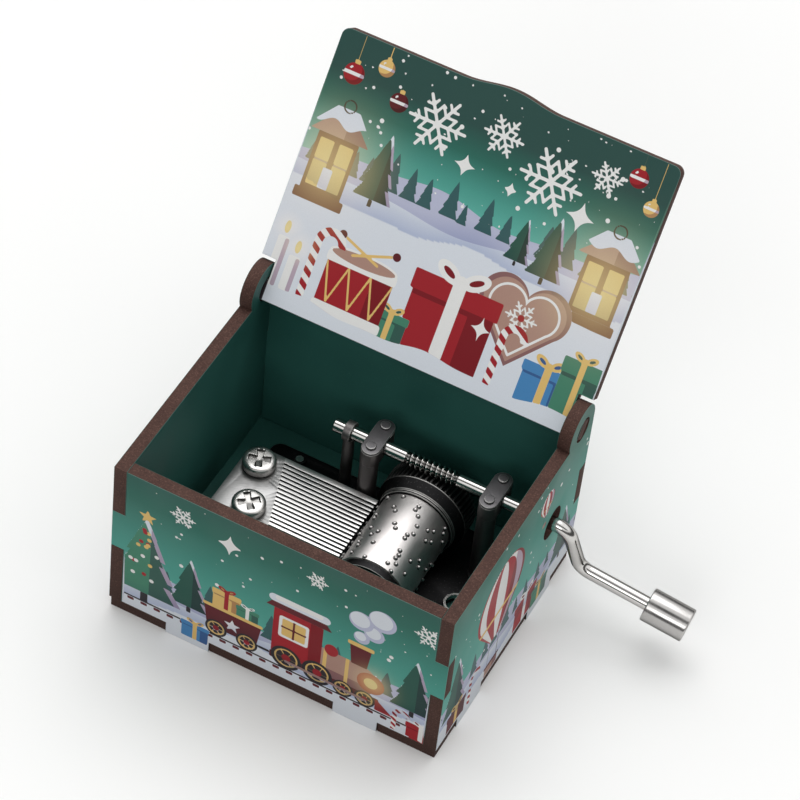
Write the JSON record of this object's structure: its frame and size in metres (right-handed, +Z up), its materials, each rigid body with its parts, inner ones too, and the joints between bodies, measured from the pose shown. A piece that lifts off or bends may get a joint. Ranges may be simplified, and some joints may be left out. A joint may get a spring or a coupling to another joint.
{
  "type": "music box",
  "caption": "Hand-cranked music box: finger-jointed board box with a hinged lid, a bent wire crank with a metal knob, and a worm-driven pinned drum that turns beside a steel comb.",
  "frame": {"origin": "middle of the base board's underside, which the box stands on", "axes": "+Z up, +X to the side wall that the crank comes out of, +Y to the wall that the lid is hinged over"},
  "size_m": [0.0913, 0.0778, 0.0788],
  "materials": {
    "dark_board": "laser-cut fibreboard with dark brown edges",
    "black_casting": "satin black",
    "nickel_plate": "bright nickel plate",
    "comb_steel": "ground steel",
    "bright_steel": "polished steel",
    "knob_steel": "turned, brushed steel"
  },
  "bodies": {
    "box": {"base_panel": "dark_board", "front_panel": "dark_board", "back_panel": "dark_board", "left_panel": "dark_board", "right_panel": "dark_board", "bedplate": "black_casting", "insert_rear_left": "black_casting", "insert_front_left": "black_casting", "insert_front_right": "black_casting", "base_screw_rear_left": "bright_steel", "base_screw_front_left": "bright_steel", "base_screw_front_right": "bright_steel", "locating_bush": "nickel_plate", "comb": "comb_steel", "comb_base": "black_casting", "comb_screw_rear": "nickel_plate", "comb_screw_front": "nickel_plate", "bearing_pillar_left": "black_casting", "bearing_pillar_right": "black_casting", "bearing_cap_left": "black_casting", "bearing_cap_right": "black_casting", "cap_rivet_left_front": "black_casting", "cap_rivet_left_rear": "black_casting", "cap_rivet_right_front": "black_casting", "cap_rivet_right_rear": "black_casting", "outboard_bearing": "black_casting", "drum_bracket_front": "black_casting", "drum_bracket_rear": "black_casting"},
    "lid": {"lid_panel": "dark_board"},
    "crank": {"crank_shaft": "bright_steel", "knob_rivet": "knob_steel"},
    "knob": {"crank_knob": "knob_steel"},
    "drum": {"drum_sleeve": "bright_steel", "drum_end_cap": "black_casting", "drum_flange": "black_casting", "worm_wheel": "black_casting", "drum_arbor": "bright_steel"}
  },
  "joints": [
    {"name": "lid_hinge", "type": "hinge", "parent": "box", "child": "lid", "pos_m": [0, 0.0216, 0.0386], "axis": [1, 0, 0], "range_deg": [-53.5, 126.5]},
    {"name": "crank_spin", "type": "hinge", "parent": "box", "child": "crank", "pos_m": [0, 0.01393, 0.0217], "axis": [1, 0, 0], "continuous": true},
    {"name": "drum_spin", "type": "hinge", "parent": "box", "child": "drum", "pos_m": [0.0088, 0, 0.01217], "axis": [0, 1, 0], "continuous": true},
    {"name": "knob_spin", "type": "hinge", "parent": "crank", "child": "knob", "pos_m": [0.05093, 0.01608, 0.00948], "axis": [0.9877, 0.0272, -0.1541], "continuous": true}
  ],
  "couplings": [
    {"joint": "drum_spin", "follows": "crank_spin", "ratio": -0.019231}
  ]
}
